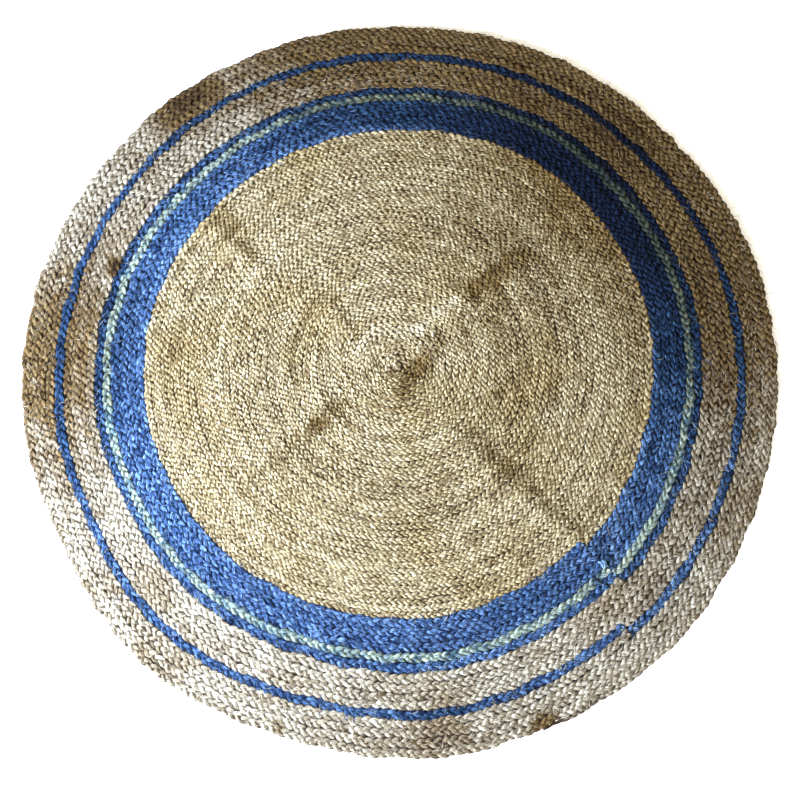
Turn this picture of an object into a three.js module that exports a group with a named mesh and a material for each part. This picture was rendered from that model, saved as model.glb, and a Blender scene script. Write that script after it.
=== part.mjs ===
// Round braided jute rug, lying flat. Millimetres, +Z up, resting on Z = 0, centred on its bounding box.
// One flat braid is coiled outwards from the middle, clockwise seen from above, and changes colour at
// splices. Each colour run is a solid of its own: a ribbon that follows the coil, a narrow air gap away
// from its neighbours. The braid's first end fills the eye of the coil, and its last end tapers away.
import * as THREE from "three";

// Driving dimensions, in millimetres unless the comment says otherwise.
const centreBraidWidth = 9.75;
const borderBraidWidth = 12.9;
const braidThickness = 8;
const shoulder = 1.3;          // how far a row's top edge is drawn in from its seam, on each side
const seamGap = 0.3;           // air between neighbouring rows, and between two runs at a splice
const centreTurns = 41;        // turns of the coil in the fine braid of the middle field
const spliceAngle = -45;       // degrees from +X, where the coil starts and most runs change
const tailLength = 250;        // the last stretch of braid, thinned towards its tip
const tailTipWidth = 3;

// Facets: a seam has few rays near the middle and more further out, to stay close to its true curve.
const fewestRays = 9;
const facetError = 2.5;        // the most that a facet's middle may lie inside the curve
const rounding = 1e-6;         // places this near to each other, in rays, are the same place

const natural = { colour: 0xb9a479, roughness: 0.95 };
const outerNatural = { colour: 0xa38c6b, roughness: 0.95 };
const blue = { colour: 0x2f5c9e, roughness: 0.9 };
const pale = { colour: 0xc9cfae, roughness: 0.95 };

// The runs after the middle field, from the inside out, each with its length in turns of the coil.
const borderRuns = [
  { name: "wide_blue_band", turns: 4, yarn: blue },
  { name: "pale_stripe", turns: 1, yarn: pale },
  { name: "narrow_blue_stripe", turns: 1, yarn: blue },
  { name: "middle_natural_band", turns: 4.015, yarn: outerNatural },
  { name: "thin_blue_ring", turns: 1, yarn: blue },
  { name: "outer_natural_band", turns: 3.985, yarn: outerNatural },
];

// Radius of the seam that lies inside the row after so many turns; the next seam is one turn on.
function seamRadius(turns) {
  const fine = Math.min(turns, centreTurns);
  return fine * centreBraidWidth + (turns - fine) * borderBraidWidth;
}

// Rays in one turn of a seam. The number only ever doubles, so outer seams share the inner ones' rays.
function raysAt(turns) {
  const radius = seamRadius(Math.floor(turns + rounding) + 1);
  let rays = fewestRays;
  while (radius * (1 - Math.cos(Math.PI / rays)) > facetError) {
    rays *= 2;
  }
  return rays;
}

// A point on one ray of the seam, shifted outwards.
function pointOnRay(turns, shift) {
  const angle = THREE.MathUtils.degToRad(spliceAngle) - 2 * Math.PI * turns;
  const radius = seamRadius(turns) + shift;
  return new THREE.Vector2(radius * Math.cos(angle), radius * Math.sin(angle));
}

// The same anywhere along the seam: between two rays it lies on the straight facet, so the rows on
// both sides of a seam follow one line, whichever rays they have themselves.
function pointOnSeam(turns, shift) {
  const rays = raysAt(turns);
  const ray = Math.floor(turns * rays + rounding);
  const along = Math.max(turns * rays - ray, 0);
  return pointOnRay(ray / rays, shift).lerp(pointOnRay((ray + 1) / rays, shift), along);
}

// Where a row is cut between two places of the coil: at both ends, and on each ray of its outer seam.
function stationsBetween(start, end) {
  const stations = [start];
  let rays = raysAt(start + 1);
  let ray = Math.floor(start * rays + rounding) + 1;
  while (ray < end * rays - rounding) {
    stations.push(ray / rays);
    const finerRays = raysAt(ray / rays + 1);
    ray = Math.round(ray * finerRays / rays) + 1;
    rays = finerRays;
  }
  stations.push(end);
  return stations;
}

// Turns of the coil that a short length takes up at a given place.
function lengthInTurns(length, turns) {
  return length / (2 * Math.PI * seamRadius(turns + 0.5));
}

// Four corners of the braid's section: the flat underside's two edges, then the narrower top's.
function sectionOf(inner, outer) {
  const across = outer.clone().sub(inner).normalize().multiplyScalar(shoulder);
  const topInner = inner.clone().add(across);
  const topOuter = outer.clone().sub(across);
  return [
    [inner.x, inner.y, 0],
    [outer.x, outer.y, 0],
    [topOuter.x, topOuter.y, braidThickness],
    [topInner.x, topInner.y, braidThickness],
  ];
}

// Joins sections into one closed ribbon with a flat face at either end. The coil runs clockwise.
function ribbonThrough(sections) {
  const positions = sections.flat(2);
  const index = [];
  for (let station = 0; station < sections.length - 1; station += 1) {
    for (let corner = 0; corner < 4; corner += 1) {
      const here = station * 4 + corner;
      const beside = station * 4 + (corner + 1) % 4;
      index.push(here, beside, here + 4, beside, beside + 4, here + 4);
    }
  }
  const last = (sections.length - 1) * 4;
  index.push(0, 2, 1, 0, 3, 2);
  index.push(last, last + 1, last + 2, last, last + 2, last + 3);
  const geometry = new THREE.BufferGeometry();
  geometry.setAttribute("position", new THREE.Float32BufferAttribute(positions, 3));
  geometry.setIndex(index);
  geometry.computeVertexNormals();
  return geometry;
}

// The braid along one colour run, from seam to seam.
function runGeometry(start, end) {
  const from = start + lengthInTurns(seamGap / 2, start);
  const to = end - lengthInTurns(seamGap / 2, end);
  const sections = stationsBetween(from, to).map((turns) => sectionOf(
    pointOnSeam(turns, seamGap / 2),
    pointOnSeam(turns + 1, -seamGap / 2),
  ));
  return ribbonThrough(sections);
}

// The last stretch of braid: its inner edge keeps to the seam and its outer edge draws in to the tip.
function tailGeometry(start) {
  const from = start + lengthInTurns(seamGap / 2, start);
  const to = from + lengthInTurns(tailLength, from);
  const sections = stationsBetween(from, to).map((turns) => {
    const share = (turns - from) / (to - from);
    const width = THREE.MathUtils.lerp(borderBraidWidth - seamGap, tailTipWidth, share);
    return sectionOf(pointOnSeam(turns, seamGap / 2), pointOnSeam(turns, seamGap / 2 + width));
  });
  return ribbonThrough(sections);
}

// The folded first end of the braid, which fills the comma-shaped eye inside the first turn.
function eyeGeometry() {
  const outline = [];
  for (let ray = 2; ray <= fewestRays; ray += 1) {
    outline.push(pointOnRay(ray / fewestRays, -seamGap));
  }
  const faceDirection = THREE.MathUtils.degToRad(spliceAngle + 90);
  const clear = new THREE.Vector2(Math.cos(faceDirection), Math.sin(faceDirection));
  outline[outline.length - 1].addScaledVector(clear, seamGap);
  outline.push(clear.multiplyScalar(seamGap));
  return new THREE.ExtrudeGeometry(new THREE.Shape(outline), { depth: braidThickness, bevelEnabled: false });
}

function pieceOf(name, geometry, yarn) {
  const material = new THREE.MeshStandardMaterial({
    color: yarn.colour,
    roughness: yarn.roughness,
    metalness: 0,
  });
  const mesh = new THREE.Mesh(geometry, material);
  mesh.name = name;
  return mesh;
}

function buildRug() {
  const rug = new THREE.Group();
  rug.add(pieceOf("braid_start", eyeGeometry(), natural));
  rug.add(pieceOf("natural_centre_field", runGeometry(0, centreTurns), natural));
  let turns = centreTurns;
  for (const run of borderRuns) {
    rug.add(pieceOf(run.name, runGeometry(turns, turns + run.turns), run.yarn));
    turns += run.turns;
  }
  rug.add(pieceOf("braid_tail", tailGeometry(turns), outerNatural));
  return rug;
}

const rug = buildRug();
const middle = new THREE.Box3().setFromObject(rug).getCenter(new THREE.Vector3());
rug.position.set(-middle.x, -middle.y, 0);

export default rug;
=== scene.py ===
import math

import bpy
import numpy as np
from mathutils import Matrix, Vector


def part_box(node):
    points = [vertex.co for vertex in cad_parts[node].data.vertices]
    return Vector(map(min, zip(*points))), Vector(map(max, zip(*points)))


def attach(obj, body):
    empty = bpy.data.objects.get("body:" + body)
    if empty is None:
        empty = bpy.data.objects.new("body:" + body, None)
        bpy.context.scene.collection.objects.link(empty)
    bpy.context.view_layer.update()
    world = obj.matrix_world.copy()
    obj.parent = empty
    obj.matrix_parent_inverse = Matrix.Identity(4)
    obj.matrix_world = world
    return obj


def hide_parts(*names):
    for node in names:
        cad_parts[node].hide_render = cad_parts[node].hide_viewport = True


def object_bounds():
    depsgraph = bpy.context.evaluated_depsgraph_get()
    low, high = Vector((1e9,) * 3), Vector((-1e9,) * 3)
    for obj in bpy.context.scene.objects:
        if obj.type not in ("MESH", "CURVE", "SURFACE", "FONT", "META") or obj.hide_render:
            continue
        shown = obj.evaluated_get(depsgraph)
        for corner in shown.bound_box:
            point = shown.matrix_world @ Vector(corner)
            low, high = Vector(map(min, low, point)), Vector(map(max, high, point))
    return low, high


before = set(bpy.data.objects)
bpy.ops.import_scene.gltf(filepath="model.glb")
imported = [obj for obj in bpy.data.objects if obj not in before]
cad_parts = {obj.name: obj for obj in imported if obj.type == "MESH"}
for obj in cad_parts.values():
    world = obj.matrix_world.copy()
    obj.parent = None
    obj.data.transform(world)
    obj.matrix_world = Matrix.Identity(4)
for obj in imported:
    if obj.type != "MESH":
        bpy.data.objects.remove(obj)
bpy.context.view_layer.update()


# ---- Camera, floor and light ----
# Someone holds a camera overhead, a little on the near side of the rug, and looks almost straight down.
# A large window on the left lights the rug and leaves its far right side dim. The floor is plain and pale.

rug_low, rug_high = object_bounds()
rug_radius = (rug_high[0] - rug_low[0]) / 2

camera_distance = 3.59 * rug_radius
camera_lean = math.radians(15.5)
aim_nearer = 0.099 * rug_radius  # the camera points this far to the near side of the middle
aim = Vector((0.0, -aim_nearer, 0.0))

camera_data = bpy.data.cameras.new("overhead_camera")
camera_data.sensor_width = 36.0  # millimetres, as is the lens
camera_data.lens = 60.8
camera = bpy.data.objects.new("overhead_camera", camera_data)
camera.location = (0.0, -camera_distance * math.sin(camera_lean), camera_distance * math.cos(camera_lean))
camera.rotation_euler = (aim - camera.location).to_track_quat("-Z", "Y").to_euler()
bpy.context.scene.collection.objects.link(camera)
bpy.context.scene.camera = camera


def area_light(name, place, target, size, watts, colour):
    """A soft square lamp at place, turned towards target."""
    data = bpy.data.lights.new(name, "AREA")
    data.size = size
    data.energy = watts
    data.color = colour
    lamp = bpy.data.objects.new(name, data)
    lamp.location = place
    lamp.rotation_euler = (Vector(target) - Vector(place)).to_track_quat("-Z", "Y").to_euler()
    bpy.context.scene.collection.objects.link(lamp)


area_light("window", (-1.58, -0.54, 0.95), (-0.2, -0.15, 0.0), 0.55, 78.0, (0.86, 1.0, 1.37))
area_light("near_window", (-0.55, -1.9, 1.3), (0.0, -0.3, 0.0), 1.0, 42.0, (0.92, 0.985, 1.15))
area_light("room_fill", (0.9, 1.4, 2.4), (0.0, 0.0, 0.0), 2.0, 10.0, (1.0, 0.74, 0.28))
view = bpy.context.scene.view_settings
view.view_transform = "Standard"
view.exposure = 0.30  # a little brighter than plain
view.gamma = 0.80  # and with deeper shadows

# the room gives a little warm light; the wall behind the rug shows as a plain pale backdrop
world = bpy.data.worlds.new("studio")
world.use_nodes = True
room_nodes, room_links = world.node_tree.nodes, world.node_tree.links
room_light = room_nodes["Background"]
room_light.inputs["Color"].default_value = (1.0, 0.91, 0.65, 1.0)
room_light.inputs["Strength"].default_value = 0.21
backdrop = room_nodes.new("ShaderNodeBackground")
backdrop.inputs["Color"].default_value = (0.93, 0.93, 0.92, 1.0)
backdrop.inputs["Strength"].default_value = 0.72
seen = room_nodes.new("ShaderNodeLightPath")
both = room_nodes.new("ShaderNodeMixShader")
room_links.new(seen.outputs["Is Camera Ray"], both.inputs["Fac"])
room_links.new(room_light.outputs["Background"], both.inputs[1])
room_links.new(backdrop.outputs["Background"], both.inputs[2])
room_links.new(both.outputs["Shader"], room_nodes["World Output"].inputs["Surface"])
bpy.context.scene.world = world


floor_level = -0.0004  # a hair below the rug, in metres
floor_glow = 0.50  # the floor gives off some light itself, which keeps it near white


def floor_mesh(half_side, cells):
    """A flat square grid just under the rug."""
    ticks = np.linspace(-half_side, half_side, cells + 1)
    points = [(x, y, floor_level) for y in ticks for x in ticks]
    row = cells + 1
    squares = [
        (i + j * row, i + 1 + j * row, i + 1 + (j + 1) * row, i + (j + 1) * row)
        for j in range(cells)
        for i in range(cells)
    ]
    mesh = bpy.data.meshes.new("floor")
    mesh.from_pydata(points, [], squares)
    return mesh


floor = bpy.data.objects.new("floor", floor_mesh(half_side=15.0, cells=4))
floor_material = bpy.data.materials.new("floor_paint")
floor_material.use_nodes = True
floor_shader = floor_material.node_tree.nodes["Principled BSDF"]
floor_shader.inputs["Base Color"].default_value = (0.86, 0.86, 0.85, 1.0)
floor_shader.inputs["Roughness"].default_value = 0.7
floor_shader.inputs["Emission Color"].default_value = (1.0, 0.99, 0.97, 1.0)
floor_shader.inputs["Emission Strength"].default_value = floor_glow
floor.data.materials.append(floor_material)
bpy.context.scene.collection.objects.link(floor)


# ---- The coil ----
# The whole rug is one flat plait wound outwards, clockwise seen from above. A place in it is given by the
# turns of the coil so far, the distance across the plait from its middle, and the height above the floor.

facet_shrink = math.cos(math.pi / 36)  # the CAD's outer turns are 36-sided


def reach(node):
    """Half the width of a node's box, as the true radius of its outer seam."""
    low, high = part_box(node)
    return (high[0] - low[0]) / 2 / facet_shrink


field_turns, outer_band_rows = 41, 4
border_row = (reach("outer_natural_band") - reach("thin_blue_ring")) / outer_band_rows
growth_at_sides = (0.375 + 0.875) / 2  # of a row, where the left and right of the box meet the last turn
field_row = (reach("natural_centre_field") - growth_at_sides * border_row) / field_turns
splice_angle = math.radians(-45)
coil_centre = np.array([-border_row / 4, -border_row / 4])  # the box's middle is a quarter row off it
rug_thickness = rug_high[2] - rug_low[2]


def seam_radius(turns):
    """Radius of the seam inside the row that lies after so many turns."""
    fine = np.minimum(turns, field_turns)
    return fine * field_row + (turns - fine) * border_row


def row_width(turns):
    return seam_radius(turns + 1) - seam_radius(turns)


def on_coil(turns, across, height):
    """Points of the flat, perfect coil; across is measured outwards from the row's middle."""
    angle = splice_angle - 2 * math.pi * turns
    radius = (seam_radius(turns) + seam_radius(turns + 1)) / 2 + across
    x = coil_centre[0] + radius * np.cos(angle)
    y = coil_centre[1] + radius * np.sin(angle)
    return np.stack([x, y, height], axis=-1)


# ---- How the rug lies ----
# Ridges run out along both diagonals and the middle is puckered, probably because it was stored folded in
# quarters. Its outline is hand-made: it swells and pinches by a per cent or so from place to place.

# direction in degrees, share of the radius, and spread in degrees
outline_swells = [
    (38, -0.008, 18),
    (90, -0.016, 42),
    (150, -0.010, 20),
    (180, -0.006, 12),
    (207, -0.015, 11),
    (232, 0.013, 14),
    (278, 0.017, 18),
    (342, -0.010, 22),
]
# the same for the blue band's distance from the middle, where the plait was made wider or narrower
band_swells = [(-110, -0.016, 38), (-18, -0.018, 28), (58, 0.016, 18), (135, -0.014, 28)]
band_reach = (0.41, 0.09)  # radius where that shows most, and how far it spreads, in metres
# each fold's crest as (x, y, height), then how far it spreads to the left and right of its run, in metres
fold_crests = [
    (
        [(0.075, -0.112, 0.002), (0.156, -0.192, 0.0068), (0.262, -0.275, 0.0052), (0.37, -0.375, 0.001)],
        0.019,
        0.016,
    ),
    (
        [
            (-0.060, -0.030, 0.003),
            (-0.045, 0.022, 0.006),
            (0.0, 0.034, 0.0066),
            (0.05, 0.056, 0.0076),
            (0.108, 0.100, 0.006),
        ],
        0.016,
        0.011,
    ),
    ([(0.090, 0.118, 0.003), (0.130, 0.150, 0.0060), (0.190, 0.190, 0.0030)], 0.028, 0.012),
    (
        [(-0.34, -0.28, 0.001), (-0.215, -0.161, 0.0040), (-0.12, -0.072, 0.0072), (-0.085, -0.045, 0.003)],
        0.028,
        0.011,
    ),
    ([(-0.36, 0.28, 0.001), (-0.262, 0.185, 0.0050), (-0.200, 0.135, 0.0010)], 0.013, 0.022),
    ([(-0.13, 0.110, 0.001), (-0.095, 0.065, 0.0040), (-0.070, 0.030, 0.0010)], 0.012, 0.018),
]
# middle (x, y), height (a hollow's is negative), and radius, in metres
swells = [
    ((0.0, 0.0), 0.0019, 0.200),
    ((0.122, 0.130), -0.0040, 0.015),
    ((0.165, 0.158), -0.0040, 0.018),
    ((0.028, -0.008), -0.0040, 0.016),
    ((0.070, 0.045), -0.0030, 0.014),
    ((0.185, 0.030), -0.0020, 0.026),
    ((0.178, -0.045), -0.0018, 0.026),
    ((-0.03, -0.40), 0.0016, 0.070),
    ((0.42, 0.10), 0.0020, 0.080),
    ((-0.42, 0.02), 0.0018, 0.070),
    ((-0.20, 0.47), 0.0020, 0.060),
]
highest_lift = 0.0088
edge_lift = 0.0009  # how far the wavy edge rises, in metres, for each unit of its ripple


def distance_to_stretch(points, start, end):
    """Distance from each point to a straight stretch between two places."""
    start, end = np.array(start), np.array(end)
    along = end - start
    share = np.clip(((points - start) @ along) / (along @ along), 0, 1)
    return np.linalg.norm(points - (start + share[..., None] * along), axis=-1)


def fold_lift(points, crest, left_spread, right_spread):
    """Height that one fold adds, from the nearest part of its crest."""
    nearest = np.full(points.shape[:-1], np.inf)
    height = np.zeros(points.shape[:-1])
    for start, end in zip(np.array(crest), np.array(crest[1:])):
        along = end[:2] - start[:2]
        share = np.clip(((points - start[:2]) @ along) / (along @ along), 0, 1)
        apart = points - (start[:2] + share[..., None] * along)
        distance = np.linalg.norm(apart, axis=-1)
        on_left = along[0] * apart[..., 1] - along[1] * apart[..., 0] > 0
        spread = np.where(on_left, left_spread, right_spread)
        rise = (start[2] + share * (end[2] - start[2])) * np.exp(-((distance / spread) ** 2))
        closer = distance < nearest
        nearest, height = np.where(closer, distance, nearest), np.where(closer, rise, height)
    return height


def lift(points):
    """Height of the rug's underside above the floor."""
    height = np.zeros(points.shape[:-1])
    for crest, left_spread, right_spread in fold_crests:
        height += fold_lift(points, crest, left_spread, right_spread)
    for middle, rise, radius in swells:
        away = np.linalg.norm(points - np.array(middle), axis=-1)
        height += rise * np.exp(-((away / radius) ** 2))
    radius = np.linalg.norm(points, axis=-1) / rug_radius
    angle = np.arctan2(points[..., 1], points[..., 0])
    ripple = np.sin(5 * angle + 1.1) + 0.7 * np.sin(9 * angle + 4.0) + 0.5 * np.sin(14 * angle + 2.2)
    height = np.maximum(height + edge_lift * radius**4 * (2.2 + ripple), 0)
    return height / (1 + (height / highest_lift) ** 4) ** 0.25


# waves that push neighbouring rows about together: waves per metre in x and y, start, and size in metres
row_wiggles = [
    (14.1, 6.3, 0.3, 0.0009),
    (-8.9, 17.5, 2.1, 0.0008),
    (23.0, -12.4, 4.0, 0.0006),
    (5.2, -29.0, 1.2, 0.0005),
    (-31.0, -9.5, 5.1, 0.0004),
]


ring_wander = 0.0011  # metres by which whole turns stray in and out


def settle(points):
    """Moves points of the perfect coil to where they are in the rug as it lies."""
    flat = points[..., :2].copy()
    for per_x, per_y, start, size in row_wiggles:
        wave = 2 * math.pi * (flat[..., 0] * per_x + flat[..., 1] * per_y) + start
        flat[..., 0] += size * np.sin(wave)
        flat[..., 1] += size * np.cos(wave * 0.83 + start)
    radius = np.linalg.norm(flat, axis=-1)
    angle = np.degrees(np.arctan2(flat[..., 1], flat[..., 0]))
    edge, band = np.zeros(radius.shape), np.zeros(radius.shape)
    for swelling, places in ((edge, outline_swells), (band, band_swells)):
        for direction, share, spread in places:
            turn = (angle - direction + 180) % 360 - 180
            swelling += share * np.exp(-((turn / spread) ** 2))
    stretch = edge * (radius / rug_radius) ** 3
    stretch += band * np.exp(-(((radius - band_reach[0]) / band_reach[1]) ** 2))
    wander = ring_wander * np.sin(radius * 61 + np.radians(angle) * 3 + 0.6)
    wander = wander * np.minimum(radius / 0.1, 1)
    moved = points.copy()
    moved[..., :2] = flat * (1 + stretch + wander / np.maximum(radius, 0.05))[..., None]
    moved[..., 2] += lift(moved[..., :2])
    return moved


# ---- Natural middle field ----
# Forty-one turns of fine undyed plait: three loose, barely twisted strands of jute, plaited flat and sewn
# row to row. The strands bulge where they show and are pinched where they dive under each other.

strand_sides = 10
steps_per_period = 14
pitch_per_width = 0.985  # length of plait between two lobes on one side, in widths of the plait
strand_twist = 2 * math.pi / 0.045  # one turn of the fibres round their strand in 45 mm


def swept_tubes(paths, half_widths, half_heights, rolls, girth, bulges=1.0):
    """Closed tubes along paths of the shape (tube, step, 3), as vertices, quads and end caps."""
    tangents = np.gradient(paths, axis=1)
    tangents /= np.linalg.norm(tangents, axis=-1, keepdims=True)
    sideways = np.cross(tangents, np.array([0.0, 0.0, 1.0]))
    sideways /= np.linalg.norm(sideways, axis=-1, keepdims=True)
    upwards = np.cross(sideways, tangents)
    cos_roll, sin_roll = np.cos(rolls)[..., None], np.sin(rolls)[..., None]
    wide = sideways * cos_roll + upwards * sin_roll
    high = upwards * cos_roll - sideways * sin_roll
    rings = (
        paths[:, :, None, :]
        + wide[:, :, None, :] * (half_widths[..., None] * np.cos(girth) * bulges)[..., None]
        + high[:, :, None, :] * (half_heights[..., None] * np.sin(girth) * bulges)[..., None]
    )
    tubes, steps, sides = rings.shape[:3]
    number = np.arange(tubes * steps * sides).reshape(tubes, steps, sides)
    beside = np.roll(number, -1, axis=2)
    quads = np.stack([number[:, :-1], number[:, 1:], beside[:, 1:], beside[:, :-1]], axis=-1)
    caps = np.concatenate([number[:, 0], number[:, -1, ::-1]])
    return rings.reshape(-1, 3), quads.reshape(-1, 4), caps


def tube_mesh(name, tubes, sides, **values):
    """A smooth-shaded mesh of tubes, with values at every vertex and a flat map for its colours."""
    vertices, quads, caps = tubes
    mesh = bpy.data.meshes.new(name)
    corners = np.concatenate([quads.ravel(), caps.ravel()])
    sizes = np.concatenate([np.full(len(quads), 4), np.full(len(caps), sides)])
    starts = np.concatenate([[0], np.cumsum(sizes)[:-1]])
    mesh.vertices.add(len(vertices))
    mesh.vertices.foreach_set("co", vertices.astype(np.float32).ravel())
    mesh.loops.add(len(corners))
    mesh.loops.foreach_set("vertex_index", corners.astype(np.int32))
    mesh.polygons.add(len(sizes))
    mesh.polygons.foreach_set("loop_start", starts.astype(np.int32))
    mesh.polygons.foreach_set("use_smooth", np.ones(len(sizes), dtype=bool))
    mesh.update(calc_edges=True)
    for kind, value in values.items():
        is_vector = value.size == 3 * len(vertices)
        attribute = mesh.attributes.new(kind, "FLOAT_VECTOR" if is_vector else "FLOAT", "POINT")
        attribute.data.foreach_set("vector" if is_vector else "value", value.astype(np.float32).ravel())

    # every strand is laid out as straight strips, row above row, with a margin between the rows
    quad = np.arange(len(quads))
    side, segment = quad % sides, quad // sides
    per_row = max(int(math.sqrt(segment.max() + 1) * sides * 0.3), 1)
    rows = segment.max() // per_row + 1
    column, row = segment % per_row, segment // per_row
    places = np.full((len(corners), 2), 0.5 / rows, dtype=np.float32)
    ends, edges = np.array([0, 1, 1, 0]), np.array([0, 0, 1, 1])
    places[: quads.size, 0] = ((column[:, None] + ends) / per_row).ravel()
    places[: quads.size, 1] = ((row[:, None] + 0.05 + 0.9 * (side[:, None] + edges) / sides) / rows).ravel()
    mesh.uv_layers.new(name="OFBake").data.foreach_set("uv", places.ravel())
    return mesh


def smooth_random(rng, count, steps_between):
    """A gentle random series of about unit size that changes over so many steps."""
    knots = rng.standard_normal(count // steps_between + 3)
    return np.interp(np.arange(count) / steps_between, np.arange(len(knots)), knots)


samples_per_turn, fewest_samples = 240, 24


def plait_stations(start, end):
    """Places along the coil that are evenly spaced in plait, and the plait's phase at each."""
    turns = np.linspace(start, end, int((end - start) * samples_per_turn) + fewest_samples)
    length_per_turn = 2 * math.pi * (seam_radius(turns) + seam_radius(turns + 1)) / 2
    periods_per_turn = length_per_turn / (3 * pitch_per_width * row_width(turns))
    middles = (periods_per_turn[1:] + periods_per_turn[:-1]) / 2
    periods = np.concatenate([[0], np.cumsum(middles * np.diff(turns))])
    stations = max(int(periods[-1] * steps_per_period), 8)
    wanted = np.linspace(0, periods[-1], stations + 1)
    return np.interp(wanted, periods, turns), wanted * 2 * math.pi


# middle (x, y), radius in metres, and strength of the brown marks: first the stains, then broad ones, from
# (0.17, 0.16) on, that stand for shade on the rug at least as much as for dirt
brown_marks = [
    ((-0.374, 0.437), 0.034, 1.6),
    ((-0.335, 0.470), 0.034, 1.5),
    ((-0.459, 0.166), 0.0075, 3.4),
    ((-0.463, 0.151), 0.0060, 3.0),
    ((-0.384, -0.448), 0.010, 0.7),
    ((-0.179, -0.562), 0.010, 0.7),
    ((0.205, -0.570), 0.016, 1.1),
    ((0.222, -0.556), 0.016, 1.1),
    ((0.17, 0.16), 0.16, 0.35),
    ((0.43, 0.12), 0.12, 0.30),
    ((0.32, 0.34), 0.12, 0.45),
    ((-0.58, 0.02), 0.17, 0.80),
    ((-0.44, 0.42), 0.16, 0.15),
    ((-0.16, 0.58), 0.18, 0.75),
    ((0.10, 0.58), 0.18, 0.75),
    ((0.36, 0.44), 0.20, 1.00),
    ((0.55, 0.16), 0.18, 0.75),
    ((0.55, -0.25), 0.10, 0.30),
    ((0.05, -0.58), 0.10, 0.30),
]


# lines of places (x, y) along the folds, strength, and spread: below 0 painted highlight on the folds' lit
# sides, above 0 painted shade on their shaded flanks and in their hollows
fold_painted_light = [
    ([(-0.070, 0.022), (-0.036, 0.052), (0.002, 0.046), (0.030, 0.052)], -0.40, 0.011),
    ([(0.030, 0.052), (0.064, 0.086), (0.104, 0.112)], -0.50, 0.011),
    ([(0.086, -0.138), (0.145, -0.196), (0.200, -0.242), (0.255, -0.286)], 0.06, 0.010),
    ([(-0.100, -0.045), (-0.150, -0.080), (-0.215, -0.140)], -0.10, 0.010),
    ([(0.006, -0.036), (0.026, -0.010)], 0.65, 0.018),
    ([(0.026, -0.010), (0.056, 0.024), (0.094, 0.056)], 0.50, 0.015),
    ([(0.104, -0.110), (0.160, -0.157), (0.213, -0.208)], 0.42, 0.018),
    ([(0.213, -0.208), (0.266, -0.262)], 0.18, 0.014),
    ([(-0.092, -0.070), (-0.128, -0.102)], 0.80, 0.016),
    ([(-0.128, -0.102), (-0.180, -0.150), (-0.245, -0.205)], 0.36, 0.012),
    ([(0.114, 0.118), (0.150, 0.144)], 0.75, 0.015),
    ([(0.150, 0.150), (0.196, 0.178)], 0.45, 0.014),
    ([(-0.290, 0.250), (-0.246, 0.200)], 0.40, 0.012),
    ([(0.140, 0.090), (0.168, 0.040), (0.170, -0.030), (0.150, -0.070)], 0.22, 0.026),
    ([(-0.150, 0.070), (-0.170, 0.010), (-0.160, -0.050)], 0.14, 0.022),
]


# direction and spread in degrees, strength, and least radius, of painted shade, partly dirt too, on the
# borders alone
field_edge, stripes_edge, ring_edge = (seam_radius(field_turns + rows) for rows in (0, 6, 11))
border_painted_shade = [
    (-2, 24, 0.42, field_edge),
    (42, 28, 0.50, field_edge),
    (92, 26, 0.28, field_edge),
    (139, 20, 0.20, stripes_edge),
    (184, 28, 0.32, stripes_edge),
    (-80, 55, 0.15, ring_edge),
]


def stains_and_painted_shading(points):
    """How much stain, dirt and painted shade lies at each point, from 0 up, or how much painted highlight,
    down to -1.
    """
    total = np.zeros(points.shape[:-1])
    for middle, radius, strength in brown_marks:
        away = np.linalg.norm(points[..., :2] - np.array(middle), axis=-1)
        total += strength * np.exp(-((away / radius) ** 2))
    for line, strength, spread in fold_painted_light:
        away = np.full(total.shape, np.inf)
        for start, end in zip(line, line[1:]):
            away = np.minimum(away, distance_to_stretch(points[..., :2], start, end))
        total += strength * np.exp(-((away / spread) ** 2))
    radius = np.linalg.norm(points[..., :2], axis=-1)
    angle = np.degrees(np.arctan2(points[..., 1], points[..., 0]))
    for direction, spread, strength, least in border_painted_shade:
        turn = (angle - direction + 180) % 360 - 180
        total += strength * np.clip((radius - least) / 0.012, 0, 1) * np.exp(-((turn / spread) ** 2))
    return np.clip(total, -1, 2.5)


# The far right lies in shade, and that shade is given to the dyed runs' own colour: its direction and its
# spread, in degrees.
dark_side, dark_spread = 46, 36


def dye_depth(points):
    """How much painted shade darkens the dyed runs at each point, from 0 to 1."""
    angle = np.degrees(np.arctan2(points[..., 1], points[..., 0]))
    return np.exp(-(((angle - dark_side) / dark_spread) ** 4))


# how far a hand-made plait strays: its phase in radians, then each strand's place across and height, as
# shares of the plait, and its girth, as a share of itself
phase_wander, across_wander, level_wander, girth_wander = 0.30, 0.026, 0.036, 0.10
strand_swing, strand_weave = 0.300, 0.225  # reach to the side and up, as shares of the plait
strand_tilt = 0.42  # radians by which a strand leans where it turns back
# half the width and height of a strand, as shares of the plait: everywhere, more where it shows on a face,
# and more where it turns back at a side
half_width_shares, half_height_shares = (0.236, 0.040, 0.034), (0.195, 0.040, 0.105)
row_unevenness, row_sinking = 0.00035, 0.00040  # metres
# rows that sink are painted darker by this much, as painted shade in their lower place
sunken_row_shade = 0.13


# dyed gives how strongly a run takes the painted shade on the far right side
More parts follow.
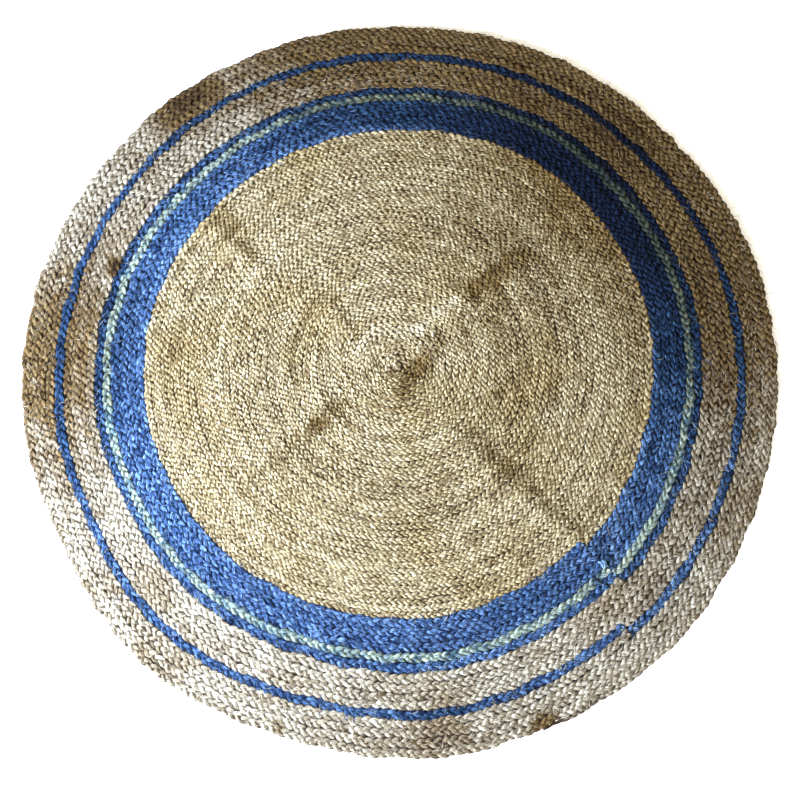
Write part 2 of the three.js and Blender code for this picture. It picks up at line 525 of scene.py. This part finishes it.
def plait_mesh(name, start, end, seed, narrowing=None, dirt=0.0, dyed=0.0):
    """Three strands plaited along one run of the coil, as closed tubes with fibre coordinates."""
    rng = np.random.default_rng(seed)
    turns, phase = plait_stations(start, end)
    count, lobe_steps = len(turns), steps_per_period // 2
    phase = phase + phase_wander * smooth_random(rng, count, 2 * steps_per_period)
    width = row_width(turns)
    scale = np.ones(count) if narrowing is None else narrowing(turns)
    # rows dip for part of a turn
    sunken = np.clip(smooth_random(rng, count, 16 * steps_per_period), -1.6, 1.6)
    row_height = row_unevenness * smooth_random(rng, count, 6 * steps_per_period) - row_sinking * sunken
    paths, wides, highs, rolls, shades = [], [], [], [], []
    for strand in range(3):
        angle = phase + strand * 2 * math.pi / 3
        showing, turning = np.sin(2 * angle) ** 2, np.sin(angle) ** 2
        lateral = strand_swing * (np.sin(angle) - 0.07 * np.sin(3 * angle))
        lateral = lateral + across_wander * smooth_random(rng, count, lobe_steps)
        level = 0.5 - strand_weave * np.sin(2 * angle)
        level = level + level_wander * smooth_random(rng, count, lobe_steps)
        swell = 1 + girth_wander * smooth_random(rng, count, lobe_steps)
        across = lateral * width * scale - width * (1 - scale) / 2
        level = (0.5 + (level - 0.5) * scale - 0.12 * (1 - scale)) * rug_thickness
        paths.append(on_coil(turns, across, level + row_height))
        for sizes, whole, (plain, shown, turning_back) in (
            (wides, width, half_width_shares),
            (highs, rug_thickness, half_height_shares),
        ):
            sizes.append(whole * scale * swell * (plain + shown * showing + turning_back * turning))
        rolls.append(-strand_tilt * np.sin(angle))
        lobe = np.floor((angle - angle.min()) / (math.pi / 2)).astype(int)
        shades.append(rng.standard_normal(lobe.max() + 1)[lobe])
    levels = np.array(paths)[..., 2]
    paths, wides, highs = settle(np.array(paths)), np.array(wides), np.array(highs)
    girth = np.arange(strand_sides) / strand_sides * 2 * math.pi
    bundles = [
        [smooth_random(rng, count, 3 * lobe_steps // 2) for side in range(strand_sides)]
        for strand in range(3)
    ]
    bulges = 1 + girth_wander * np.moveaxis(np.array(bundles), 1, 2)
    tubes = swept_tubes(paths, wides, highs, np.array(rolls), girth, bulges)
    tubes[0][:, 2] = np.maximum(tubes[0][:, 2], 0)  # strands are pressed flat where they touch the floor
    steps = np.linalg.norm(np.diff(paths, axis=1), axis=-1)
    along = np.concatenate([np.zeros((3, 1)), np.cumsum(steps, axis=1)], axis=1)[..., None]
    turned = girth + strand_twist * along
    fibre = np.stack(
        [
            along + 7.3 * np.arange(3)[:, None, None] + 0 * turned,
            wides.mean() * np.cos(turned),
            wides.mean() * np.sin(turned),
        ],
        axis=-1,
    )
    outwards = np.abs((levels[..., None] + highs[..., None] * np.sin(girth)) / rug_thickness - 0.5) * 2
    return tube_mesh(
        name,
        tubes,
        strand_sides,
        fibre=fibre,
        shade=np.repeat(np.array(shades).ravel(), strand_sides),
        outwards=outwards,
        brown=stains_and_painted_shading(tubes[0]) + dirt + sunken_row_shade * np.tile(np.repeat(sunken, strand_sides), 3),
        depth=dyed * dye_depth(tubes[0]),
    )


class Weave:
    """Short ways to add and join the nodes of one material."""

    def __init__(self, name):
        self.material = bpy.data.materials.new(name)
        self.material.use_nodes = True
        self.tree = self.material.node_tree
        self.shader = self.tree.nodes["Principled BSDF"]

    def node(self, kind, settings=(), **inputs):
        """Adds a node. Inputs are plain values, or another node's output to join."""
        added = self.tree.nodes.new(kind)
        for key, value in dict(settings).items():
            setattr(added, key, value)
        for key, value in inputs.items():
            is_number = key[0] == "i" and key[1:].isdigit()
            socket = added.inputs[int(key[1:]) if is_number else key.replace("_", " ")]
            if isinstance(value, bpy.types.NodeSocket):
                self.tree.links.new(value, socket)
            else:
                socket.default_value = value
        return added

    def attribute(self, name, output="Fac"):
        return self.node("ShaderNodeAttribute", {"attribute_name": name}).outputs[output]

    def noise(self, place, scale, detail, stretch=None):
        """Noise at a place, at so many cells per metre, with the coordinates stretched first if asked."""
        if stretch is not None:
            place = self.node("ShaderNodeMapping", Vector=place, Scale=stretch).outputs["Vector"]
        return self.node("ShaderNodeTexNoise", Vector=place, Scale=scale, Detail=detail).outputs["Fac"]

    def plus(self, value, times, rest):
        """value * times + rest."""
        node = self.node("ShaderNodeMath", {"operation": "MULTIPLY_ADD"}, i0=value, i1=times, i2=rest)
        return node.outputs[0]

    def between(self, value, low, high, to_low, to_high):
        """Takes value from the range low to high to the other range, held at its ends."""
        ends = {"From_Min": low, "From_Max": high, "To_Min": to_low, "To_Max": to_high}
        return self.node("ShaderNodeMapRange", Value=value, **ends).outputs["Result"]

    def ramp(self, value, stops):
        """Colours at positions from 0 to 1, blended between."""
        node = self.node("ShaderNodeValToRGB", Fac=value)
        elements = node.color_ramp.elements
        for element, (position, colour) in zip(elements, (stops[0], stops[-1])):
            element.position, element.color = position, (*colour, 1.0)
        for position, colour in stops[1:-1]:
            elements.new(position).color = (*colour, 1.0)
        return node.outputs["Color"]

    def mix(self, share, under, over, blend="MIX"):
        """Lays colour over on colour under, by share."""
        node = self.node("ShaderNodeMix", {"data_type": "RGBA", "blend_type": blend})
        for socket, value in ((node.inputs[0], share), (node.inputs[6], under), (node.inputs[7], over)):
            if isinstance(value, bpy.types.NodeSocket):
                self.tree.links.new(value, socket)
            else:
                socket.default_value = (*value, 1.0) if isinstance(value, tuple) else value
        return node.outputs[2]


# cells of colour per metre, along and across the fibres
streak_stretch, sliver_stretch = (150.0, 2600.0, 2600.0), (120.0, 950.0, 950.0)


def jute_material(
    name,
    dark,
    middle,
    light,
    fleck,
    patch,
    patch_share,
    stain_and_shade_colour,
    deep,
    roughness,
    patch_scale=7.0,
    stain_and_shade_full=0.9,
):
    """Loose jute: streaks along the fibres, a shade for each lobe, flecks, soft patches and painted shade in
    crevices.
    """
    weave = Weave(name)
    fibre, place = weave.attribute("fibre", "Vector"), weave.node("ShaderNodeTexCoord").outputs["Object"]
    streaks = weave.noise(fibre, 1.0, 3.0, stretch=streak_stretch)
    slivers = weave.noise(fibre, 1.0, 2.0, stretch=sliver_stretch)
    grain = weave.plus(weave.attribute("shade"), 0.065, -1.00)
    grain = weave.plus(slivers, 1.70, grain)
    grain = weave.plus(streaks, 1.30, grain)
    colour = weave.ramp(grain, [(0.24, dark), (0.50, middle), (0.78, light)])

    wide = weave.noise(place, patch_scale, 5.0)
    colour = weave.mix(weave.between(wide, 0.48, 0.68, 0.0, patch_share), colour, patch, "MULTIPLY")
    specks = weave.noise(place, 170.0, 1.0)
    colour = weave.mix(weave.between(specks, 0.64, 0.74, 0.0, 0.75), colour, fleck)
    # stains, dirt and painted shade darken the colour towards this brown
    ragged = weave.plus(weave.noise(place, 60.0, 3.0), 1.2, -0.62)
    stain_and_shade_share = weave.between(weave.plus(weave.attribute("brown"), 1.0, ragged), 0.05, stain_and_shade_full, 0.0, 0.9)
    colour = weave.mix(stain_and_shade_share, colour, stain_and_shade_colour, "MULTIPLY")
    # painted shade on the dyed runs' far right side
    colour = weave.mix(weave.attribute("depth"), colour, deep, "MULTIPLY")
    holed = weave.between(weave.attribute("brown"), 1.6, 2.3, 0.0, 0.9)
    colour = weave.mix(holed, colour, deep, "MULTIPLY")
    # painted highlight: the colour lifted towards the light one where the marks are below 0, on the folds'
    # lit sides
    painted_highlight = weave.between(weave.attribute("brown"), -0.8, -0.05, 0.75, 0.0)
    colour = weave.mix(painted_highlight, colour, light)
    # painted shade: darker towards the plait's mid-height, in the crevices between the strands
    crevice_shade = weave.between(weave.attribute("outwards"), 0.08, 0.50, 1.0, 0.0)
    colour = weave.mix(crevice_shade, colour, deep, "MULTIPLY")

    bump = weave.node("ShaderNodeBump", Strength=1.0, Distance=0.0009, Height=grain)
    weave.tree.links.new(bump.outputs["Normal"], weave.shader.inputs["Normal"])
    weave.tree.links.new(colour, weave.shader.inputs["Base Color"])
    weave.shader.inputs["Roughness"].default_value = roughness
    weave.shader.inputs["Specular IOR Level"].default_value = 0.20
    weave.shader.inputs["Sheen Weight"].default_value = 0.05
    weave.shader.inputs["Sheen Roughness"].default_value = 0.5
    return weave.material


def rug_piece(mesh, material, slot, *nodes):
    """A piece of the rug: shows the mesh in place of the given CAD nodes."""
    mesh.materials.append(material)
    piece = bpy.data.objects.new(mesh.name, mesh)
    bpy.context.scene.collection.objects.link(piece)
    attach(piece, "root")
    if nodes:
        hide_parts(*nodes)
    return piece


natural_yarn = jute_material(
    "undyed_jute",
    dark=(0.17, 0.115, 0.050),
    middle=(0.525, 0.435, 0.240),
    light=(0.82, 0.745, 0.520),
    fleck=(0.20, 0.12, 0.05),
    patch=(0.80, 0.71, 0.52),
    patch_share=0.7,
    stain_and_shade_colour=(0.42, 0.32, 0.155),
    deep=(0.30, 0.24, 0.17),
    roughness=0.68,
)
rug_piece(
    plait_mesh("natural_field_plait", 0.0, field_turns, seed=11),
    natural_yarn,
    "natural_jute",
    "natural_centre_field",
)


# ---- Eye of the coil ----
# The plait's first end is rolled up tightly and sewn through, which closes the hole inside the first turn.

eye_turns = 1.6


def eye_mesh(name):
    """A small tight roll of one strand inside the first turn."""
    steps = 60
    share = np.linspace(0, 1, steps)
    angle = splice_angle - 2 * math.pi * eye_turns * share
    radius = 0.0004 + 0.36 * field_row * share
    height = rug_thickness * (0.62 - 0.16 * share)
    x = coil_centre[0] + radius * np.cos(angle)
    y = coil_centre[1] + radius * np.sin(angle)
    path = settle(np.stack([x, y, height], axis=-1))[None]
    wide, high = np.full((1, steps), 0.21 * field_row), np.full((1, steps), 0.24 * rug_thickness)
    girth = np.arange(strand_sides) / strand_sides * 2 * math.pi
    tubes = swept_tubes(path, wide, high, np.zeros((1, steps)), girth)
    along = share[:, None] * 0.03 + 0 * girth
    fibre = np.stack([along, 0.002 * np.cos(girth) + 0 * along, 0.002 * np.sin(girth) + 0 * along], axis=-1)
    ones = np.ones(len(tubes[0]))
    values = {"shade": -0.5 * ones, "outwards": 0.7 * ones, "brown": 0 * ones}
    return tube_mesh(name, tubes, strand_sides, fibre=fibre, **values)


rug_piece(eye_mesh("rolled_first_end"), natural_yarn, "natural_jute", "braid_start")


# ---- Blue runs ----
# The same jute dyed denim blue before plaiting: one wide band, one narrow stripe and one thin ring. The
# dye took unevenly, so strands vary from navy to a worn cornflower blue.

blue_yarn = jute_material(
    "blue_dyed_jute",
    dark=(0.004, 0.016, 0.055),
    middle=(0.048, 0.120, 0.268),
    light=(0.36, 0.51, 0.67),
    fleck=(0.20, 0.34, 0.50),
    patch=(0.62, 0.76, 0.82),
    patch_share=0.6,
    stain_and_shade_colour=(0.15, 0.26, 0.32),
    deep=(0.22, 0.24, 0.34),
    roughness=0.66,
    stain_and_shade_full=0.65,
)

wide_turns = 4
wide_end = field_turns + wide_turns
pale_end = wide_end + 1
narrow_end = pale_end + 1
middle_end = narrow_end + 4.015
ring_end = middle_end + 1
outer_end = ring_end + 3.985

blue_runs = [
    ("wide_blue_plait", field_turns, wide_end, 0.0, "wide_blue_band"),
    ("narrow_blue_plait", pale_end, narrow_end, 0.06, "narrow_blue_stripe"),
    ("thin_blue_plait", middle_end, ring_end, 0.20, "thin_blue_ring"),
]
for number, (name, start, end, dirt, node) in enumerate(blue_runs):
    blue_mesh = plait_mesh(name, start, end, seed=21 + number, dirt=dirt, dyed=1.0)
    rug_piece(blue_mesh, blue_yarn, "blue_jute", node)


# ---- Pale stripe ----
# One turn of bleached jute between the blues, tinged green by dye that ran into it in the wash.

pale_yarn = jute_material(
    "pale_bleached_jute",
    dark=(0.08, 0.13, 0.15),
    middle=(0.38, 0.45, 0.34),
    light=(0.69, 0.74, 0.57),
    fleck=(0.05, 0.12, 0.26),
    patch=(0.22, 0.40, 0.66),
    patch_share=0.85,
    stain_and_shade_colour=(0.45, 0.42, 0.34),
    deep=(0.25, 0.28, 0.30),
    roughness=0.68,
    patch_scale=50.0,
    stain_and_shade_full=0.65,
)
rug_piece(
    plait_mesh("pale_stripe_plait", wide_end, pale_end, seed=31, dyed=0.8),
    pale_yarn,
    "pale_jute",
    "pale_stripe",
)


# ---- Outer natural bands and the last end ----
# Two bands of undyed jute from an older, greyer and browner batch, four turns each, with stains. The last
# end of the plait is thinned, bent in under the edge and sewn down.

weathered_yarn = jute_material(
    "weathered_jute",
    dark=(0.16, 0.118, 0.062),
    middle=(0.57, 0.515, 0.375),
    light=(0.80, 0.765, 0.63),
    fleck=(0.12, 0.06, 0.03),
    patch=(0.64, 0.54, 0.40),
    patch_share=0.6,
    stain_and_shade_colour=(0.33, 0.218, 0.062),
    deep=(0.27, 0.21, 0.16),
    roughness=0.7,
)
rug_piece(
    plait_mesh("middle_band_plait", narrow_end, middle_end, seed=41),
    weathered_yarn,
    "weathered_jute",
    "middle_natural_band",
)
rug_piece(
    plait_mesh("outer_band_plait", ring_end, outer_end, seed=42),
    weathered_yarn,
    "weathered_jute",
    "outer_natural_band",
)

tail_length = 0.25
tail_turns = tail_length / (2 * math.pi * seam_radius(outer_end + 0.5))
tail_tip = 0.24  # width left at the tip, as a share


def tail_narrowing(turns):
    share = np.clip((turns - outer_end) / tail_turns, 0, 1)
    return 1 - (1 - tail_tip) * share**1.3


rug_piece(
    plait_mesh("thinned_last_end", outer_end, outer_end + tail_turns, seed=43, narrowing=tail_narrowing),
    weathered_yarn,
    "weathered_jute",
    "braid_tail",
)


# ---- Loose fibres ----
# Jute sheds. Short ends and slivers work out of the strands all over the face of the rug, paler where the
# light has bleached them, and each keeps the colour of the run it grows from.


def loose_fibres(name, runs, per_metre, seed, lengths, radii, shade, tops, dips, dyed):
    """Many fine bent tubes that start inside a strand, arch over the surface and dip back or end free."""
    rng = np.random.default_rng(seed)
    starts = []
    for start, end in runs:
        ticks = np.linspace(start, end, 400)
        metres = 2 * math.pi * seam_radius(ticks + 0.5)
        metres = np.concatenate([[0], np.cumsum((metres[1:] + metres[:-1]) / 2 * np.diff(ticks))])
        starts.append(np.interp(rng.uniform(0, metres[-1], int(metres[-1] * per_metre)), metres, ticks))
    middle_turn = np.concatenate(starts)
    count, steps = len(middle_turn), 6
    step = np.linspace(-0.5, 0.5, steps)
    length = rng.uniform(*lengths, count)[:, None]
    heading = rng.normal(0, 0.75, count)[:, None] + rng.normal(0, 1.1, count)[:, None] * step
    advance = length / (steps - 1)
    along = np.cumsum(np.cos(heading) * advance, axis=1)
    across = np.cumsum(np.sin(heading) * advance, axis=1) + (
        rng.uniform(-0.45, 0.45, count) * row_width(middle_turn)
    )[:, None]
    turns = middle_turn[:, None] + along / (2 * math.pi * seam_radius(middle_turn + 0.5))[:, None]
    top = rng.uniform(*tops, count)[:, None]
    dip = rng.uniform(*dips, count)[:, None]
    free = rng.uniform(0, 1, count)[:, None] < 0.4
    drop = dip * (2 * step) ** 2 * np.where(free & (step > 0), 0.25, 1.0)
    height = (top - drop) * rug_thickness
    paths = settle(on_coil(turns, across, height))
    thin = rng.uniform(*radii, count)[:, None] * (1 - 0.55 * np.abs(2 * step) ** 3)
    girth = np.arange(3) / 3 * 2 * math.pi
    tubes = swept_tubes(paths, thin, thin, np.zeros((count, steps)), girth)
    tubes[0][:, 2] = np.maximum(tubes[0][:, 2], 0)
    walk = (rng.uniform(0, 40, count)[:, None] + along)[..., None] + 0 * girth
    fibre = np.stack([walk, 0 * walk, 0 * walk], axis=-1)
    shades = np.repeat(rng.normal(*shade, count), steps * 3)
    full = np.ones(len(tubes[0]))
    brown, depth = 0.5 * stains_and_painted_shading(tubes[0]), dyed * dye_depth(tubes[0])
    return tube_mesh(name, tubes, 3, fibre=fibre, shade=shades, outwards=full, brown=brown, depth=depth)


field_run, weathered_runs = [(1.0, field_turns)], [(narrow_end, middle_end), (ring_end, outer_end - 0.03)]
dyed_runs = [(field_turns, wide_end), (pale_end, narrow_end), (middle_end, ring_end)]
fibre_groups = [
    ("field_fibres", field_run, 95, natural_yarn, "natural_jute"),
    ("weathered_fibres", weathered_runs, 130, weathered_yarn, "weathered_jute"),
    ("blue_fibres", dyed_runs, 120, blue_yarn, "blue_jute"),
    ("pale_fibres", [(wide_end, pale_end)], 120, pale_yarn, "pale_jute"),
]
fine_hairs = {
    "lengths": (0.006, 0.022),
    "radii": (0.00014, 0.00032),
    "shade": (1.0, 1.4),
    "tops": (0.86, 1.05),
    "dips": (0.05, 0.40),
}
slivers = {
    "lengths": (0.005, 0.012),
    "radii": (0.00032, 0.00060),
    "shade": (0.9, 2.2),
    "tops": (0.86, 1.02),
    "dips": (0.02, 0.22),
}
for number, (name, runs, per_metre, yarn, slot) in enumerate(fibre_groups):
    # dyed fibres take the painted shade on the far right side as well
    dyed = 0.85 if yarn in (blue_yarn, pale_yarn) else 0.0
    hair_mesh = loose_fibres(name, runs, per_metre, 51 + number, **fine_hairs, dyed=dyed)
    rug_piece(hair_mesh, yarn, slot)
    name = name.replace("fibres", "slivers")
    sliver_mesh = loose_fibres(name, runs, per_metre, 61 + number, **slivers, dyed=dyed)
    rug_piece(sliver_mesh, yarn, slot)


# ---- Packed inside of the plait ----
# Under the strands that show, the plait is imported solid with the same jute, so the floor never shows
# through. A thin disc stands for it.

core_radius = seam_radius(outer_end) - 0.45 * border_row
core_levels = (0.46, 0.30)  # its upper and lower face, as shares of the rug's thickness


def core_mesh(name):
    """A thin round cloth that follows the rug as it lies, a little below the plait's mid-height."""
    spokes, rings = 360, 100
    angle = np.arange(spokes) / spokes * 2 * math.pi
    radius = core_radius * np.arange(1, rings + 1) / rings
    flat_x = coil_centre[0] + radius[:, None] * np.cos(angle)
    flat_y = coil_centre[1] + radius[:, None] * np.sin(angle)
    layers = []
    for level in core_levels:
        height = np.full(flat_x.shape, level * rug_thickness)
        centre = np.array([[*coil_centre, level * rug_thickness]])
        layers.append(np.concatenate([centre, np.stack([flat_x, flat_y, height], axis=-1).reshape(-1, 3)]))
    points = settle(np.concatenate(layers))
    grid = 1 + np.arange(rings * spokes).reshape(rings, spokes)
    beside = np.roll(grid, -1, axis=1)
    squares = np.stack([grid[:-1], grid[1:], beside[1:], beside[:-1]], axis=-1).reshape(-1, 4)
    under = 1 + rings * spokes
    faces = [tuple(f) for f in squares.tolist()] + [tuple(f) for f in (squares[:, ::-1] + under).tolist()]
    for one, two, low, low_two in zip(grid[0], beside[0], grid[0] + under, beside[0] + under):
        faces += [(0, int(one), int(two)), (under, int(low_two), int(low))]
    for one, two in zip(grid[-1], beside[-1]):
        faces.append((int(one), int(one + under), int(two + under), int(two)))
    mesh = bpy.data.meshes.new(name)
    mesh.from_pydata(points.tolist(), [], faces)
    is_blue = np.zeros(len(points))
    counted = np.arange(60)  # more turns than the rug has
    point_radius = np.concatenate([[0], np.repeat(radius, spokes)] * 2)
    turns = np.interp(point_radius, seam_radius(counted), counted)
    for _, start, end, _, _ in blue_runs:
        is_blue[(turns > start) & (turns < end + 1)] = 1
    mesh.attributes.new("dyed", "FLOAT", "POINT").data.foreach_set("value", is_blue.astype(np.float32))
    return mesh


weave = Weave("packed_jute_in_painted_shade")
place = weave.node("ShaderNodeTexCoord").outputs["Object"]
tangle = weave.noise(place, 420.0, 4.0, stretch=(1.0, 1.0, 0.4))
# the disc's colours are the jute's in painted shade, far darker than the strands, as it shows only deep in
# the gaps
plain = weave.ramp(tangle, [(0.35, (0.035, 0.024, 0.014)), (0.65, (0.17, 0.125, 0.075))])
dyed = weave.ramp(tangle, [(0.35, (0.004, 0.008, 0.022)), (0.65, (0.02, 0.045, 0.10))])
colour = weave.mix(weave.attribute("dyed"), plain, dyed)
bump = weave.node("ShaderNodeBump", Strength=0.8, Distance=0.001, Height=tangle)
weave.tree.links.new(bump.outputs["Normal"], weave.shader.inputs["Normal"])
weave.tree.links.new(colour, weave.shader.inputs["Base Color"])
weave.shader.inputs["Roughness"].default_value = 0.85

core = rug_piece(core_mesh("packed_inside"), weave.material, "weathered_jute")


# ---- Sewing thread ----
# One strong brown thread joins the whole coil. It zigzags from each row into the next, low in the groove
# between them, so it shows on the underside and hardly at all from above.

stitch_length = 0.013
thread_radius = 0.0004
thread_reach = 0.24  # how far the thread swings to either side of a seam, in widths of the row
thread_level = 0.17  # as a share of the rug's thickness


def thread_mesh(name, lines, radius, shade, sides=8):
    """Round twisted threads along lines of points, all with as many points as the longest."""
    girth = np.arange(sides) / sides * 2 * math.pi
    steps = max(len(line) for line in lines)
    paths = []
    for line in lines:
        path, known = settle(np.array(line)), np.arange(len(line))
        share = np.linspace(0, len(line) - 1, steps)
        paths.append(np.stack([np.interp(share, known, path[:, i]) for i in range(3)], axis=-1))
    paths = np.array(paths)
    thick = np.full(paths.shape[:2], radius)
    tubes = swept_tubes(paths, thick, thick, 0 * thick, girth)
    lengths = np.linalg.norm(np.diff(paths, axis=1), axis=-1)
    walk = np.concatenate([np.zeros((len(lines), 1)), np.cumsum(lengths, axis=1)], axis=1)
    walk = walk[..., None] + 0 * girth
    turned = girth + 2 * math.pi * walk / (3 * radius)
    fibre = np.stack([walk, radius * np.cos(turned), radius * np.sin(turned)], axis=-1)
    ones = np.ones(len(tubes[0]))
    return tube_mesh(name, tubes, sides, fibre=fibre, shade=shade * ones, outwards=ones, brown=0 * ones)


seam_turns = np.linspace(1.2, outer_end, 4000)
seam_metres = 2 * math.pi * seam_radius(seam_turns)
seam_pieces = (seam_metres[1:] + seam_metres[:-1]) / 2 * np.diff(seam_turns)
seam_metres = np.concatenate([[0], np.cumsum(seam_pieces)])
stitch_count = int(seam_metres[-1] / stitch_length * 2)
stitch_turns = np.interp(np.arange(stitch_count) * stitch_length / 2, seam_metres, seam_turns)
zigzag = thread_reach * np.where(np.arange(stitch_count) % 2 == 0, 1, -1)
thread_height = thread_level * rug_thickness + 0 * zigzag
seam_line = on_coil(stitch_turns, (zigzag - 0.5) * row_width(stitch_turns), thread_height)
sewing_yarn = jute_material(
    "sewing_thread",
    dark=(0.13, 0.09, 0.05),
    middle=(0.30, 0.22, 0.13),
    light=(0.52, 0.42, 0.28),
    fleck=(0.16, 0.10, 0.05),
    patch=(0.85, 0.78, 0.65),
    patch_share=0.5,
    stain_and_shade_colour=(0.45, 0.35, 0.25),
    deep=(0.5, 0.45, 0.4),
    roughness=0.6,
)
rug_piece(thread_mesh("seam_thread", [seam_line], thread_radius, 0.0, sides=4), sewing_yarn, "natural_jute")


# ---- Mending thread ----
# Where the blue runs join, the plait was sewn again by hand: a few dark stitches over the pale stripe, and
# a small tangled knot of pale thread whose ends were never cut short.

knot_place = np.array([0.312, -0.322, 1.28 * rug_thickness])
knot_size = 0.0017
loop = np.linspace(0, 2 * math.pi, 90)
knot_line = knot_place + knot_size * np.stack(
    [
        (np.sin(loop) + 2 * np.sin(2 * loop)) * 0.9,
        np.cos(loop) - 2 * np.cos(2 * loop),
        -0.75 * np.sin(3 * loop),
    ],
    axis=-1,
)
end_share = np.linspace(0, 1, 30)[:, None]
# each end's run, its bow to the side, and how far round the bow goes, in radians
knot_ends = [
    knot_place + end_share * np.array(run) + np.sin(end_share * around) * np.array(bow)
    for run, bow, around in (
        ((0.005, 0.002, -0.001), (-0.002, 0.004, 0.0008), 5),
        ((-0.005, 0.003, -0.001), (0.004, 0.001, 0.0006), 6),
    )
]
knot_yarn = jute_material(
    "pale_thread",
    dark=(0.16, 0.32, 0.52),
    middle=(0.30, 0.48, 0.66),
    light=(0.56, 0.72, 0.82),
    fleck=(0.30, 0.42, 0.55),
    patch=(0.9, 0.95, 1.0),
    patch_share=0.3,
    stain_and_shade_colour=(0.5, 0.5, 0.5),
    deep=(0.5, 0.5, 0.5),
    roughness=0.6,
)
rug_piece(thread_mesh("thread_knot", [knot_line] + knot_ends, 0.0013, 0.3), knot_yarn, "pale_jute")

first_stitch, next_stitch = np.array([0.2960, -0.3390, 0.0]), np.array([0.0046, -0.0043, 0.0])
stitch_run, thickness_up = np.array([0.0050, -0.0047, 0.0]), np.array([0, 0, rug_thickness])
stitch_lines = []
for number in range(5):
    start = first_stitch + number * next_stitch
    share = np.linspace(0, 1, 14)[:, None]
    arch = 0.80 + 0.30 * np.sin(share * math.pi)
    stitch_lines.append(start + share * stitch_run + arch * thickness_up)
stitch_yarn = jute_material(
    "dark_thread",
    dark=(0.006, 0.008, 0.014),
    middle=(0.014, 0.020, 0.038),
    light=(0.04, 0.055, 0.09),
    fleck=(0.05, 0.06, 0.08),
    patch=(0.8, 0.8, 0.9),
    patch_share=0.3,
    stain_and_shade_colour=(0.5, 0.5, 0.5),
    deep=(0.5, 0.5, 0.5),
    roughness=0.55,
)
rug_piece(thread_mesh("mending_stitches", stitch_lines, 0.0010, 0.0), stitch_yarn, "blue_jute")


bpy.context.view_layer.update()
